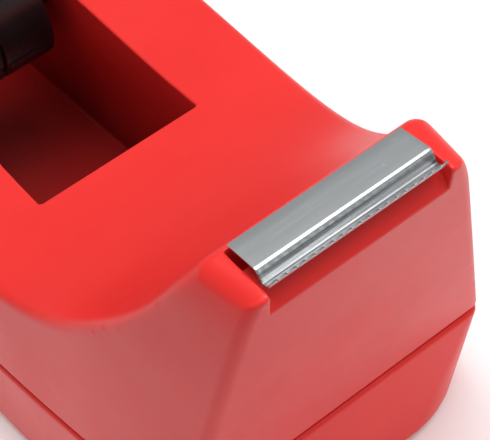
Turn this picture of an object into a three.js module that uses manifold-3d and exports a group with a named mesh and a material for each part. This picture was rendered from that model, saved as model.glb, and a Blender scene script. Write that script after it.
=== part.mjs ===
// Desk tape dispenser: a hollow saddle-shaped shell on a tub base, weighted inside, with a
// serrated steel blade on the nose and a lift-out hub that carries the roll of tape.
// Millimetres. +X points to the blade, +Z up, the base rests on Z = 0 and the origin is
// under the middle of the object.
import * as THREE from "three";
import { mergeVertices } from "three/addons/utils/BufferGeometryUtils.js";
import Module from "manifold-3d";

const wasm = await Module();
wasm.setup();

// ---- driving dimensions -------------------------------------------------------------
const LENGTH = 150;
const NOSE_X = LENGTH / 2;
const REAR_X = -LENGTH / 2;
const HALF_WIDTH = 31; // at the seam, where the body is widest
const WIDEST_X = -27;
const FRONT_HALF_WIDTH = 23.9; // at the seam, on the front face
const BLADE_X = 67.8; // back edge of the blade
const BLADE_Z = 66;
const SEAM_Z = 20.8;
const SEAM_GAP = 0.8;
const SEAM_FRONT_X = 58.9;
const FRONT_LEAN = 0.3734; // the front face leans out by this much for each mm of height
const SIDE_DRAFT = 0.165;
const FRONT_CORNER = 1.4; // plan radii of the upright corners
const REAR_CORNER = 17;
const SHOULDER = 1.8; // radius between the saddle and the sides
const WALL = 2.6;
const GAP = 0.3; // between pieces that touch

const WELL_FRONT_X = 14.4;
const WELL_REAR_X = -62;
const WELL_HALF_WIDTH = 13.2;
const WELL_FLOOR_Z = 8;
const WELL_WALL = 2;

const AXLE_X = -33.6;
const AXLE_Z = 39;
const AXLE_RADIUS = 3;
const AXLE_HALF_LENGTH = 16.4;
const DRUM_RADIUS = 12.4; // takes a one inch tape core
const DRUM_HALF_WIDTH = 9.2;
const HUB_HALF_WIDTH = 12.7;

const NOTCH_HALF_WIDTH = 11.4; // between the two ears
const BLADE_HALF_WIDTH = 11;
const BLADE_THICKNESS = 0.3;
const TOOTH_PITCHES = 19.5; // from a root at the left end to a tip at the right end
const TOOTH_DEPTH = 1.03;
const TONGUE_HALF_WIDTH = 8; // the blade's rear flange, which stands in a slot
const TONGUE_DEPTH = 4.6;

const PAN_FLOOR_Z = 1;
const PAN_FLOOR = 2.4;
const FOOT_RADIUS = 5;
const CORNERS = ["front_left", "front_right", "rear_left", "rear_right"];
const FOOT_SPOTS = [[30, -12.5], [30, 12.5], [-58, -11], [-58, 11]];
const SCREW_SPOTS = [[46, -12.5], [46, 12.5], [-50, -18.6], [-50, 18.6]];
const POST_RADIUS = 3;
const BOSS_RADIUS = 4.6;
const BOSS_TOP_Z = 5.6;
const SCREW_HEAD_RADIUS = 2.8;
const SCREW_HEAD_Z = 1.6;
const SCREW_HEAD_HEIGHT = 1.9;
const SHANK_RADIUS = 1.3;

// ---- solids -------------------------------------------------------------------------
function solidOf(geometry) {
  const bare = geometry.clone();
  bare.deleteAttribute("normal");
  bare.deleteAttribute("uv");
  const merged = mergeVertices(bare, 1e-4);
  return new wasm.Manifold(
    new wasm.Mesh({
      numProp: 3,
      vertProperties: merged.attributes.position.array,
      triVerts: new Uint32Array(merged.index.array),
    }),
  );
}

function geometryOf(solid) {
  const mesh = solid.getMesh();
  const geometry = new THREE.BufferGeometry();
  geometry.setAttribute("position", new THREE.BufferAttribute(mesh.vertProperties, 3));
  geometry.setIndex(new THREE.BufferAttribute(mesh.triVerts, 1));
  return geometry;
}

// A closed solid skinned over rings with the same number of points, each ring
// counterclockwise seen from the end that the rings advance towards.
function loft(rings) {
  const count = rings[0].length;
  const position = rings.flat().flatMap((p) => [p.x, p.y, p.z]);
  const index = [];
  for (let k = 0; k + 1 < rings.length; k++) {
    for (let i = 0; i < count; i++) {
      const a = k * count + i;
      const b = k * count + ((i + 1) % count);
      index.push(a, b, b + count, a, b + count, a + count);
    }
  }
  const last = (rings.length - 1) * count;
  for (let i = 1; i + 1 < count; i++) {
    index.push(0, i + 1, i);
    index.push(last, last + i, last + i + 1);
  }
  const geometry = new THREE.BufferGeometry();
  geometry.setAttribute("position", new THREE.Float32BufferAttribute(position, 3));
  geometry.setIndex(index);
  return solidOf(geometry);
}

function box(x0, x1, y0, y1, z0, z1) {
  const geometry = new THREE.BoxGeometry(x1 - x0, y1 - y0, z1 - z0);
  geometry.translate((x0 + x1) / 2, (y0 + y1) / 2, (z0 + z1) / 2);
  return solidOf(geometry);
}

function post(x, y, z0, z1, radius, sides = 24) {
  const geometry = new THREE.CylinderGeometry(radius, radius, z1 - z0, sides);
  geometry.rotateX(Math.PI / 2);
  geometry.translate(x, y, (z0 + z1) / 2);
  return solidOf(geometry);
}

// A side-view outline of [x, z] points, as thick as y0 to y1.
function slab(outline, y0, y1) {
  const shape = new THREE.Shape(outline.map(([x, z]) => new THREE.Vector2(x, z)));
  const geometry = new THREE.ExtrudeGeometry(shape, { depth: y1 - y0, bevelEnabled: false });
  geometry.rotateX(Math.PI / 2);
  geometry.translate(0, y1, 0);
  return solidOf(geometry);
}

// A turned part on the hub's axis: [radius, y] points that close on themselves.
function turned(profile, sides = 40) {
  const points = profile.map(([radius, y]) => new THREE.Vector2(radius, y));
  points.push(points[0].clone());
  const geometry = new THREE.LatheGeometry(points, sides);
  geometry.translate(AXLE_X, 0, AXLE_Z);
  return solidOf(geometry);
}

const joined = (solids) => solids.reduce((all, next) => all.add(next));

// ---- the body's outside -------------------------------------------------------------
// Height of the saddle along the object: knots of [x, z, slope] joined by cubics, a level
// nose in front of them and a rounded rear behind them.
const SADDLE = [
  [BLADE_X - 0.5, BLADE_Z - 0.8, 1.15],
  [BLADE_X - 14, BLADE_Z - 14.7, 0.8],
  [BLADE_X - 30, BLADE_Z - 24.9, 0.42],
  [BLADE_X - 52, BLADE_Z - 28.8, 0],
  [BLADE_X - 104, BLADE_Z - 24, 0],
];
const EAR_SLOPE = 0.085;
const REAR_DROP = 17;
const REAR_POWER = 2.4;

function saddle(x) {
  if (x >= SADDLE[0][0]) return SADDLE[0][1] - EAR_SLOPE * (x - SADDLE[0][0]);
  const [hump, top] = SADDLE[SADDLE.length - 1];
  if (x < hump) {
    const t = Math.min((hump - x) / (hump - REAR_X), 1);
    return top - REAR_DROP * (1 - (1 - t ** REAR_POWER) ** (1 / REAR_POWER));
  }
  const k = SADDLE.findIndex((knot) => x >= knot[0]) - 1;
  const [x0, z0, s0] = SADDLE[k];
  const [x1, z1, s1] = SADDLE[k + 1];
  const d = x1 - x0;
  const t = (x - x0) / d;
  const ease = t * t * (3 - 2 * t);
  return z0 + (z1 - z0) * ease + d * (s0 * t * (1 - t) ** 2 - s1 * t * t * (1 - t));
}

// Half width at the seam: widest over the hub, narrower towards both ends.
function seamHalfWidth(x) {
  const front = (x - WIDEST_X) / (SEAM_FRONT_X - WIDEST_X);
  const rear = (WIDEST_X - x) / (WIDEST_X - REAR_X);
  if (x > WIDEST_X) return HALF_WIDTH - (HALF_WIDTH - FRONT_HALF_WIDTH) * front ** 2;
  return HALF_WIDTH - 1.5 * rear ** 2;
}

const SHARPEST = 0.6; // plan radius that an inset front corner keeps
const frontCorner = (inset, rounding) =>
  Math.max(FRONT_CORNER - inset, SHARPEST) + rounding;
const rearCorner = (inset) => REAR_CORNER - inset;

// How much of the half width the upright corners take away at a station.
function cornerCut(station, inset, rounding = 0) {
  const toFront = SEAM_FRONT_X - inset - station;
  const toRear = station - (REAR_X + inset);
  const cut = (radius, distance) =>
    distance >= radius ? 0 : radius - Math.sqrt(radius ** 2 - (radius - distance) ** 2);
  return Math.max(cut(frontCorner(inset, rounding), toFront), cut(rearCorner(inset), toRear));
}

// Stations run from the rear to the front at seam level, closer together at the corners and
// along the nose.
const NOSE_LENGTH = 24;
const REAR_STEPS = 8;
const MIDDLE_STEPS = 13;
const NOSE_STEPS = 14;
const FRONT_STEPS = 4;

function stations(inset, rounding = 0) {
  const rear = REAR_X + inset;
  const front = SEAM_FRONT_X - inset;
  const afterRear = rear + rearCorner(inset);
  const noseStart = front - NOSE_LENGTH;
  const beforeFront = front - frontCorner(inset, rounding);
  const list = [];
  for (let i = 0; i < REAR_STEPS; i++) {
    const angle = (i * Math.PI) / (2 * REAR_STEPS);
    list.push(rear + rearCorner(inset) * (1 - Math.cos(angle)));
  }
  for (let i = 0; i < MIDDLE_STEPS; i++) {
    list.push(THREE.MathUtils.lerp(afterRear, noseStart, i / MIDDLE_STEPS));
  }
  for (let i = 0; i < NOSE_STEPS; i++) {
    list.push(THREE.MathUtils.lerp(noseStart, beforeFront, i / NOSE_STEPS));
  }
  for (let i = 0; i <= FRONT_STEPS; i++) {
    const angle = (i * Math.PI) / (2 * FRONT_STEPS);
    list.push(front - frontCorner(inset, rounding) * (1 - Math.sin(angle)));
  }
  return list;
}

// Above the seam each station leans forward, fully at the nose and not at all past the hub.
const LEAN_START_X = -10;
const LEAN_FULL_X = 44.9;

function leanOf(station) {
  const share = (station - LEAN_START_X) / (LEAN_FULL_X - LEAN_START_X);
  return FRONT_LEAN * THREE.MathUtils.clamp(share, 0, 1) ** 2;
}

const SHOULDER_STEPS = 5;
const HEIGHT_HALVINGS = 40;

function bodyRing(station, inset, topInset, bottomZ) {
  const lean = leanOf(station);
  const xAt = (z) => station + lean * Math.max(z - SEAM_Z, 0);
  let low = SEAM_Z;
  let high = BLADE_Z;
  for (let i = 0; i < HEIGHT_HALVINGS; i++) {
    const z = (low + high) / 2;
    if (saddle(xAt(z)) - topInset > z) low = z;
    else high = z;
  }
  const topZ = low;
  const cut = cornerCut(station, inset);
  const halfAt = (z) =>
    seamHalfWidth(xAt(z)) - SIDE_DRAFT * Math.max(z - SEAM_Z, 0) - inset - cut;
  const radius = Math.max(SHOULDER - inset, SHARPEST);
  const middleZ = (bottomZ + topZ - radius) / 2;
  const side = [bottomZ, middleZ].map((z) => [halfAt(z), z]);
  for (let i = 0; i <= SHOULDER_STEPS; i++) {
    const angle = (i * Math.PI) / (2 * SHOULDER_STEPS);
    const z = topZ - radius + radius * Math.sin(angle);
    side.push([halfAt(z) - radius * (1 - Math.cos(angle)), z]);
  }
  const right = side.map(([y, z]) => new THREE.Vector3(xAt(z), y, z));
  const left = right.map((p) => new THREE.Vector3(p.x, -p.y, p.z)).reverse();
  return [...right, ...left];
}

function body(inset, topInset, bottomZ) {
  return loft(stations(inset).map((x) => bodyRing(x, inset, topInset, bottomZ)));
}

// Plan outline at the seam, drawn in from its sides and its ends, with its front corners
// rounded further, as one ring at a height.
function planRing(z, sideInset, endInset, rounding = 0) {
  const shrink = (SEAM_FRONT_X - REAR_X - 2 * endInset) / (SEAM_FRONT_X - REAR_X);
  const centre = (SEAM_FRONT_X + REAR_X) / 2;
  const right = stations(0, rounding).map((x) => {
    const half = seamHalfWidth(x) - cornerCut(x, 0, rounding) - sideInset;
    return new THREE.Vector3(centre + (x - centre) * shrink, -half, z);
  });
  const left = right.map((p) => new THREE.Vector3(p.x, -p.y, z)).reverse();
  return [...right, ...left];
}

const planLoft = (levels) => loft(levels.map((level) => planRing(...level)));

// ---- shell --------------------------------------------------------------------------
const NOTCH_REAR_X = BLADE_X - 0.4;
const NOTCH_SHELF_Z = BLADE_Z - 2.1;
const SHELF_FRONT_X = BLADE_X + 4.3;
const NOTCH_FRONT_X = BLADE_X + 6;
const NOTCH_FLOOR_Z = BLADE_Z - 5.2;
const TONGUE_SLOT_X = BLADE_X + 2;
const TONGUE_SLOT_Z = NOTCH_SHELF_Z - 3;

function bladeNotch() {
  const seat = slab(
    [
      [NOTCH_REAR_X, BLADE_Z + 3],
      [NOTCH_REAR_X, NOTCH_SHELF_Z],
      [SHELF_FRONT_X, NOTCH_SHELF_Z],
      [NOTCH_FRONT_X, NOTCH_FLOOR_Z],
      [NOSE_X + 3, NOTCH_FLOOR_Z],
      [NOSE_X + 3, BLADE_Z + 3],
    ],
    -NOTCH_HALF_WIDTH,
    NOTCH_HALF_WIDTH,
  );
  const tongueSlot = box(
    NOTCH_REAR_X,
    TONGUE_SLOT_X,
    -NOTCH_HALF_WIDTH,
    NOTCH_HALF_WIDTH,
    TONGUE_SLOT_Z,
    NOTCH_SHELF_Z + 1,
  );
  return seat.add(tongueSlot);
}

const CRADLE_INNER_Y = 14;
const CRADLE_OUTER_Y = 19;
const CRADLE_HALF_LENGTH = 6;
const CRADLE_BOTTOM_Z = 30;
const SLOT_INNER_Y = 12;
const SLOT_OUTER_Y = 17;

function axleSlot(side) {
  const width = AXLE_RADIUS + GAP;
  const mouth = box(
    AXLE_X - width,
    AXLE_X + width,
    SLOT_INNER_Y,
    SLOT_OUTER_Y,
    AXLE_Z,
    BLADE_Z,
  );
  const seat = new THREE.CylinderGeometry(width, width, SLOT_OUTER_Y - SLOT_INNER_Y, 24);
  seat.translate(AXLE_X, (SLOT_INNER_Y + SLOT_OUTER_Y) / 2, AXLE_Z);
  const slot = mouth.add(solidOf(seat));
  return side > 0 ? slot : slot.mirror([0, 1, 0]);
}

const ROOF = 3.2; // thickness under the saddle
const ROOM_FRONT_X = 62; // the hollow stops here and below this height, under the blade
const ROOM_TOP_Z = 56;
const RIM = 1.3; // thickness of the skirt that laps over the pan's tongue
const RIM_HEIGHT = 3.2;

function upperShell() {
  const rimZ = SEAM_Z + SEAM_GAP / 2;
  const outside = body(0, 0, rimZ);
  const roomLimit = box(REAR_X, ROOM_FRONT_X, -HALF_WIDTH, HALF_WIDTH, 0, ROOM_TOP_Z);
  const room = body(WALL, ROOF, rimZ + RIM_HEIGHT - 0.2).intersect(roomLimit);
  const rabbet = planLoft([
    [rimZ - 1, RIM, RIM],
    [rimZ + RIM_HEIGHT, RIM, RIM],
  ]);
  const full = body(0, 0, 1);
  const wellBlock = box(
    WELL_REAR_X - WELL_WALL,
    WELL_FRONT_X + WELL_WALL,
    -WELL_HALF_WIDTH - WELL_WALL,
    WELL_HALF_WIDTH + WELL_WALL,
    WELL_FLOOR_Z - WELL_WALL,
    BLADE_Z,
  );
  const cradle = box(
    AXLE_X - CRADLE_HALF_LENGTH,
    AXLE_X + CRADLE_HALF_LENGTH,
    CRADLE_INNER_Y,
    CRADLE_OUTER_Y,
    CRADLE_BOTTOM_Z,
    BLADE_Z,
  );
  const cradles = [cradle, cradle.mirror([0, 1, 0])];
  const posts = SCREW_SPOTS.map(([x, y]) => post(x, y, BOSS_TOP_Z + 1.4, BLADE_Z, POST_RADIUS));
  const inside = joined([wellBlock, ...cradles, ...posts]).intersect(full);
  const well = box(
    WELL_REAR_X,
    WELL_FRONT_X,
    -WELL_HALF_WIDTH,
    WELL_HALF_WIDTH,
    WELL_FLOOR_Z,
    BLADE_Z + 5,
  );
  const pilots = SCREW_SPOTS.map(([x, y]) => post(x, y, 6, 20, SHANK_RADIUS + GAP, 16));
  const holes = joined([well, bladeNotch(), axleSlot(1), axleSlot(-1), ...pilots]);
  return outside.subtract(room).subtract(rabbet).add(inside).subtract(holes);
}

// ---- base pan -----------------------------------------------------------------------
// Levels of [height, inset from the sides, inset from the ends, extra front corner radius].
// The sides flare a little towards the table and the front corners grow rounder.
const PAN_TOP_Z = SEAM_Z - SEAM_GAP / 2;
const PAN_OUTSIDE = [
  [PAN_FLOOR_Z, 0.6, 4.2, 12],
  [PAN_FLOOR_Z + 0.4, -0.3, 3.2, 12],
  [PAN_FLOOR_Z + 1.4, -0.8, 2.6, 11.8],
  [PAN_TOP_Z, 0, 0],
];
const PAN_TONGUE = [
  [PAN_TOP_Z - 4, 1.7, 1.7],
  [PAN_TOP_Z + 3.6, 1.7, 1.7],
];
const PAN_HOLLOW = [
  [PAN_FLOOR_Z + PAN_FLOOR, 3.2, 6, 11],
  [PAN_FLOOR_Z + 5, 2.2, 5, 9.4],
  [PAN_TOP_Z - 4, 2.7, 3.4, 2.6],
  [PAN_TOP_Z - 1, 2.9, 2.9, 0.6],
  [PAN_TOP_Z + 5, 2.9, 2.9],
];
const CLEARANCE_HOLE = 1.7;
const FOOT_SEAT_Z = 2.3;

function basePan() {
  const outside = planLoft(PAN_OUTSIDE);
  const posts = (z0, z1, radius, sides) =>
    joined(SCREW_SPOTS.map(([x, y]) => post(x, y, z0, z1, radius, sides)));
  const bosses = posts(PAN_FLOOR_Z + 1, BOSS_TOP_Z, BOSS_RADIUS);
  const heads = posts(0, SCREW_HEAD_Z + SCREW_HEAD_HEIGHT + GAP, SCREW_HEAD_RADIUS + GAP);
  const holes = posts(0, BOSS_TOP_Z + 3, CLEARANCE_HOLE, 16);
  const footSeats = FOOT_SPOTS.map(([x, y]) =>
    post(x, y, 0, FOOT_SEAT_Z, FOOT_RADIUS + GAP, 32),
  );
  return outside
    .add(planLoft(PAN_TONGUE))
    .subtract(planLoft(PAN_HOLLOW))
    .add(bosses.intersect(outside))
    .subtract(joined([heads, holes, ...footSeats]));
}

function foot([x, y]) {
  return post(x, y, 0, FOOT_SEAT_Z - GAP, FOOT_RADIUS, 32);
}

const SHANK_TOP_Z = 17;
const CROSS_HALF_LENGTH = 1.6;
const CROSS_HALF_WIDTH = 0.3;
const CROSS_TOP_Z = 2.5;

function screw([x, y]) {
  const headTop = SCREW_HEAD_Z + SCREW_HEAD_HEIGHT;
  const head = post(x, y, SCREW_HEAD_Z, headTop, SCREW_HEAD_RADIUS, 20);
  const shank = post(x, y, headTop - 0.1, SHANK_TOP_Z, SHANK_RADIUS, 16);
  const cut = (halfX, halfY) =>
    box(x - halfX, x + halfX, y - halfY, y + halfY, 0, CROSS_TOP_Z);
  const cross = cut(CROSS_HALF_LENGTH, CROSS_HALF_WIDTH).add(
    cut(CROSS_HALF_WIDTH, CROSS_HALF_LENGTH),
  );
  return head.add(shank).subtract(cross);
}

// ---- ballast ------------------------------------------------------------------------
const BALLAST_Z = PAN_FLOOR_Z + PAN_FLOOR + GAP;
const FRONT_BALLAST_HALF_WIDTH = 12;
const FRONT_BALLAST_SIDE = [
  [18.5, BALLAST_Z],
  [50, BALLAST_Z],
  [52.5, 20],
  [56.5, 38],
  [46, 38],
  [34, 34],
  [18.5, 30],
];
const POST_CLEARANCE = 1.9;
// End view of the block on each side of the well, as [distance from the middle, height].
const SIDE_BALLAST_END = [
  [16.2, BALLAST_Z],
  [19, BALLAST_Z],
  [24.6, 19],
  [22.8, 31],
  [16.2, 31],
];
const SIDE_BALLAST_REAR_X = -20;
const SIDE_BALLAST_FRONT_X = 10;

function frontBallast() {
  const block = slab(
    FRONT_BALLAST_SIDE,
    -FRONT_BALLAST_HALF_WIDTH,
    FRONT_BALLAST_HALF_WIDTH,
  );
  const clear = SCREW_SPOTS.map(([x, y]) =>
    post(x, y, 0, BLADE_Z, POST_RADIUS + POST_CLEARANCE),
  );
  return block.subtract(joined(clear));
}

function sideBallast(side) {
  const ring = (x) => SIDE_BALLAST_END.map(([y, z]) => new THREE.Vector3(x, side * y, z));
  const rings = [ring(SIDE_BALLAST_REAR_X), ring(SIDE_BALLAST_FRONT_X)];
  return loft(side > 0 ? rings : rings.map((points) => points.reverse()));
}

// ---- blade --------------------------------------------------------------------------
// One strip of sheet: a flat top flange, a steep step down, a lip that turns out again into a
// row of teeth, and a tongue turned down at the rear. Outlines are measured from the rear
// top edge.
const BLADE_LINE = [
  [0, 0],
  [4.42, 0],
  [4.71, -0.1],
  [4.89, -0.34],
  [5.22, -1.28],
  [5.43, -1.56],
  [5.74, -1.65],
  [6.03, -1.57],
  [6.19, -1.42],
  [6.57, -0.87],
];
const LIP_TIP = [7.16, -0.03];

function sheetOutline(line, thickness) {
  const points = line.map(([x, z]) => new THREE.Vector2(x, z));
  const below = points.map((p, i) => {
    const before = points[Math.max(i - 1, 0)];
    const after = points[Math.min(i + 1, points.length - 1)];
    const along = after.clone().sub(before).normalize();
    return new THREE.Vector2(p.x + along.y * thickness, p.y - along.x * thickness);
  });
  return [...points, ...below.reverse()].map((p) => [BLADE_X + p.x, BLADE_Z + p.y]);
}

function toothGap(y, pitch) {
  const [rootX, rootZ] = BLADE_LINE[BLADE_LINE.length - 1];
  const along = new THREE.Vector2(LIP_TIP[0] - rootX, LIP_TIP[1] - rootZ).normalize();
  const shape = new THREE.Shape([
    new THREE.Vector2(0, -TOOTH_DEPTH),
    new THREE.Vector2(0.55 * pitch, 0.1 * TOOTH_DEPTH),
    new THREE.Vector2(-0.55 * pitch, 0.1 * TOOTH_DEPTH),
  ]);
  const geometry = new THREE.ExtrudeGeometry(shape, { depth: 3, bevelEnabled: false });
  geometry.translate(0, 0, -1.5);
  geometry.applyMatrix4(
    new THREE.Matrix4().makeBasis(
      new THREE.Vector3(0, 1, 0),
      new THREE.Vector3(along.x, 0, along.y),
      new THREE.Vector3(along.y, 0, -along.x),
    ),
  );
  geometry.translate(BLADE_X + LIP_TIP[0], y, BLADE_Z + LIP_TIP[1]);
  return solidOf(geometry);
}

function blade() {
  const strip = slab(
    sheetOutline([...BLADE_LINE, LIP_TIP], BLADE_THICKNESS),
    -BLADE_HALF_WIDTH,
    BLADE_HALF_WIDTH,
  );
  const tongue = box(
    BLADE_X,
    BLADE_X + BLADE_THICKNESS,
    -TONGUE_HALF_WIDTH,
    TONGUE_HALF_WIDTH,
    BLADE_Z - TONGUE_DEPTH,
    BLADE_Z - BLADE_THICKNESS / 2,
  );
  const pitch = (2 * BLADE_HALF_WIDTH) / TOOTH_PITCHES;
  const gaps = [];
  for (let i = 0; i < TOOTH_PITCHES; i++) {
    gaps.push(toothGap(i * pitch - BLADE_HALF_WIDTH, pitch));
  }
  return strip.add(tongue).subtract(joined(gaps));
}

// ---- hub ----------------------------------------------------------------------------
const HUB_WALL = 1.8;
const HUB_WEB = 2.2; // reaches this far from the middle
const SLEEVE_RADIUS = 5.4;
const RIM_CHAMFER = 0.6;
const RIB_COUNT = 6;
const RIB_THICKNESS = 1.4;
const RIB_SETBACK = 1; // from the open end of the drum

function hubHalf(side) {
  const bore = AXLE_RADIUS + GAP;
  const inner = GAP / 2;
  const wall = DRUM_RADIUS - HUB_WALL;
  const solid = turned([
    [bore, inner],
    [DRUM_RADIUS, inner],
    [DRUM_RADIUS, DRUM_HALF_WIDTH - RIM_CHAMFER],
    [DRUM_RADIUS - RIM_CHAMFER, DRUM_HALF_WIDTH],
    [wall, DRUM_HALF_WIDTH],
    [wall, HUB_WEB],
    [SLEEVE_RADIUS, HUB_WEB],
    [SLEEVE_RADIUS, HUB_HALF_WIDTH],
    [bore, HUB_HALF_WIDTH],
  ]);
  const ribInner = (bore + SLEEVE_RADIUS) / 2 + 0.75;
  const ribOuter = wall + HUB_WALL / 2;
  const ribFrom = HUB_WEB - 0.2;
  const ribTo = DRUM_HALF_WIDTH - RIB_SETBACK;
  const ribs = [];
  for (let i = 0; i < RIB_COUNT; i++) {
    const geometry = new THREE.BoxGeometry(ribOuter - ribInner, ribTo - ribFrom, RIB_THICKNESS);
    geometry.translate((ribInner + ribOuter) / 2, (ribFrom + ribTo) / 2, 0);
    geometry.rotateY((i * 2 * Math.PI) / RIB_COUNT);
    geometry.translate(AXLE_X, 0, AXLE_Z);
    ribs.push(solidOf(geometry));
  }
  const half = solid.add(joined(ribs));
  return side > 0 ? half : half.mirror([0, 1, 0]);
}

function axle() {
  const geometry = new THREE.CylinderGeometry(AXLE_RADIUS, AXLE_RADIUS, 2 * AXLE_HALF_LENGTH, 32);
  geometry.translate(AXLE_X, 0, AXLE_Z);
  return solidOf(geometry);
}

// ---- materials and the assembly -----------------------------------------------------
const finish = (color, roughness, metalness) =>
  new THREE.MeshStandardMaterial({ color, roughness, metalness });
const redPlastic = finish(0xd9302c, 0.42, 0);
const blackPlastic = finish(0x17181b, 0.3, 0);
const steel = finish(0xb4b8ba, 0.28, 1);
const darkSteel = finish(0x77797c, 0.4, 1);
const castIron = finish(0x4a4a4c, 0.8, 0.6);
const rubber = finish(0x2a2a2c, 0.9, 0);

const group = new THREE.Group();

function place(name, solid, material) {
  const mesh = new THREE.Mesh(geometryOf(solid), material);
  mesh.name = name;
  group.add(mesh);
}

place("upper_shell", upperShell(), redPlastic);
place("base_pan", basePan(), redPlastic);
place("cutting_blade", blade(), steel);
place("hub_left_half", hubHalf(-1), blackPlastic);
place("hub_right_half", hubHalf(1), blackPlastic);
place("hub_axle", axle(), darkSteel);
place("front_ballast", frontBallast(), castIron);
place("left_ballast", sideBallast(-1), castIron);
place("right_ballast", sideBallast(1), castIron);

CORNERS.forEach((corner, i) => {
  place(`${corner}_foot`, foot(FOOT_SPOTS[i]), rubber);
  place(`${corner}_screw`, screw(SCREW_SPOTS[i]), darkSteel);
});

export default group;
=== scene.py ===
"""Looks of the desk tape dispenser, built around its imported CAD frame."""

import math

import bpy
import numpy as np
from mathutils import Matrix, Vector


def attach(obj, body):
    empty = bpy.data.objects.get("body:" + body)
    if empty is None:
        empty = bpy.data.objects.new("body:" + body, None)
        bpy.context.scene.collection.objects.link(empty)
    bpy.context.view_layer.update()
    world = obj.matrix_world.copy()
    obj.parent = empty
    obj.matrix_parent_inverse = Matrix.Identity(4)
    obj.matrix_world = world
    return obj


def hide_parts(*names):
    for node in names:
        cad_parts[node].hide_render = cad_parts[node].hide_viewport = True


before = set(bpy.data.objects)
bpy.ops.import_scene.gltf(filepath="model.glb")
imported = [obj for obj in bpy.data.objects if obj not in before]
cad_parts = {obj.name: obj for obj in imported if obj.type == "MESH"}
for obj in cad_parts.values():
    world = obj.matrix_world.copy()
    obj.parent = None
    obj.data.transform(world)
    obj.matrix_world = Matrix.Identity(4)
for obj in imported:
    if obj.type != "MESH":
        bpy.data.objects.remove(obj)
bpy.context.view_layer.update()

scene = bpy.context.scene
MM = 0.001

# ---- dimensions of the part, in millimetres, as in its CAD source --------------------
NOSE_X = 75.0
REAR_X = -75.0
BLADE_X = 67.8
BLADE_Z = 66.0
SEAM_Z = 20.8
RIM_Z = 21.2
PAN_TOP_Z = 20.4
SEAM_FRONT_X = 58.9
FRONT_LEAN = 0.3734
SIDE_DRAFT = 0.165
FRONT_CORNER = 1.3
REAR_CORNER = 17.0
SHOULDER = 1.4
EAR_SHOULDER = 1.75
EAR_PINCH = 1.0
PAN_FLARE = 0.044
PAN_LEAN = 0.133
PAN_ROUNDING = 0.65
WALL = 2.6
WELL = (-62.0, 14.4)
WELL_HALF_WIDTH = 13.2
WELL_FLOOR_Z = 8.0
AXLE_X = -33.6
AXLE_Z = 39.0
DRUM_RADIUS = 12.4
FEET = {
    "front_left": (30, -12.5),
    "front_right": (30, 12.5),
    "rear_left": (-58, -11),
    "rear_right": (-58, 11),
}
SCREWS = {
    "front_left": (46, -12.5),
    "front_right": (46, 12.5),
    "rear_left": (-50, -18.6),
    "rear_right": (-50, 18.6),
}
EAR_SLOPE = 0.085  # of the ears' flat tops
WELL_WALL = 2
ROOM_TOP_Z = 56  # the space inside the shell
ROOM_FRONT_X = 62
SKIRT = 1.3  # the shell's edge, which laps over the pan's tongue
SKIRT_RISE = 3.2
BOSS_HALF_LENGTH = 6  # thick places in the well's walls, around the axle slots
BOSS_Y = (13, 19)
BOSS_FOOT_Z = 30
SLOT_HALF_WIDTH = 3.3
SLOT_Y = 14.5
SLOT_HALF_DEPTH = 2.5
POST_RADIUS = 3  # posts that take the screws, and their pilot holes
POST_FOOT_Z = 7
PILOT_RADIUS = 1.6
PILOT_TOP_Z = 20
SCREW_BOSS = (4.6, 1, 5.6)  # radius and height range, in the pan
HEAD_BORE = (3.1, 3.8)  # radius and top
SHANK_BORE = (1.7, 9)
FOOT_POCKET = (5.3, 2.3)
SEAT_BACK = 0.4  # the blade's seat in the nose: distances behind and below the blade's rear top edge
SEAT_DROP = 2.1
RECESS_START = 4.3  # where the recess's slanted wall leaves the seat, and that wall's direction
RECESS_NORMAL = (3.1, 1.7)
RECESS_DROP = 5.2
TONGUE_SLOT_LENGTH = 2
TONGUE_SLOT_DROP = 5.1
NOTCH_HALF_WIDTH = 11.4
ABOVE = 90  # higher than the whole body
BELOW = -3  # lower than the feet


# ---- distance fields: negative inside, in millimetres --------------------------------
def both(a, b, r):
    """Intersection with an outside edge of radius r."""
    return np.minimum(np.maximum(a, b), -r) + np.hypot(np.maximum(a + r, 0), np.maximum(b + r, 0))


def either(a, b, r):
    """Union with an inside corner of radius r."""
    return np.maximum(np.minimum(a, b), r) - np.hypot(np.maximum(r - a, 0), np.maximum(r - b, 0))


def less(a, b, r):
    return both(a, -b, r)


def block(x, y, z, lo, hi, r):
    """Box with rounded edges."""
    q = []
    for c, l, h in zip((x, y, z), lo, hi):
        q.append(np.abs(c - (l + h) / 2) - (h - l) / 2 + r)
    outer = np.sqrt(sum(np.maximum(c, 0) ** 2 for c in q))
    return outer + np.minimum(np.maximum(np.maximum(q[0], q[1]), q[2]), 0) - r


ROD_EDGE = 0.3


def rod(x, y, z, at, radius, z0, z1):
    """Upright round post."""
    flat = np.hypot(x - at[0], y - at[1]) - radius
    return both(flat, np.abs(z - (z0 + z1) / 2) - (z1 - z0) / 2, ROD_EDGE)


# saddle: knots of (x, z, slope) from the nose to the hump
SADDLE = [
    (BLADE_X - 1.1, BLADE_Z - 0.85, 1.15),
    (BLADE_X - 14, BLADE_Z - 14.7, 0.8),
    (BLADE_X - 30, BLADE_Z - 24.9, 0.42),
    (BLADE_X - 52, BLADE_Z - 28.8, 0.0),
    (BLADE_X - 104, BLADE_Z - 24, 0.0),
]
HUMP_X, HUMP_Z = SADDLE[-1][:2]
REAR_DROP = 17.0
REAR_POWER = 2.4
TABLE_STEP = 0.05
BLUR_REACH = 120  # in table steps
BLUR_WIDTH = 45.0


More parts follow.
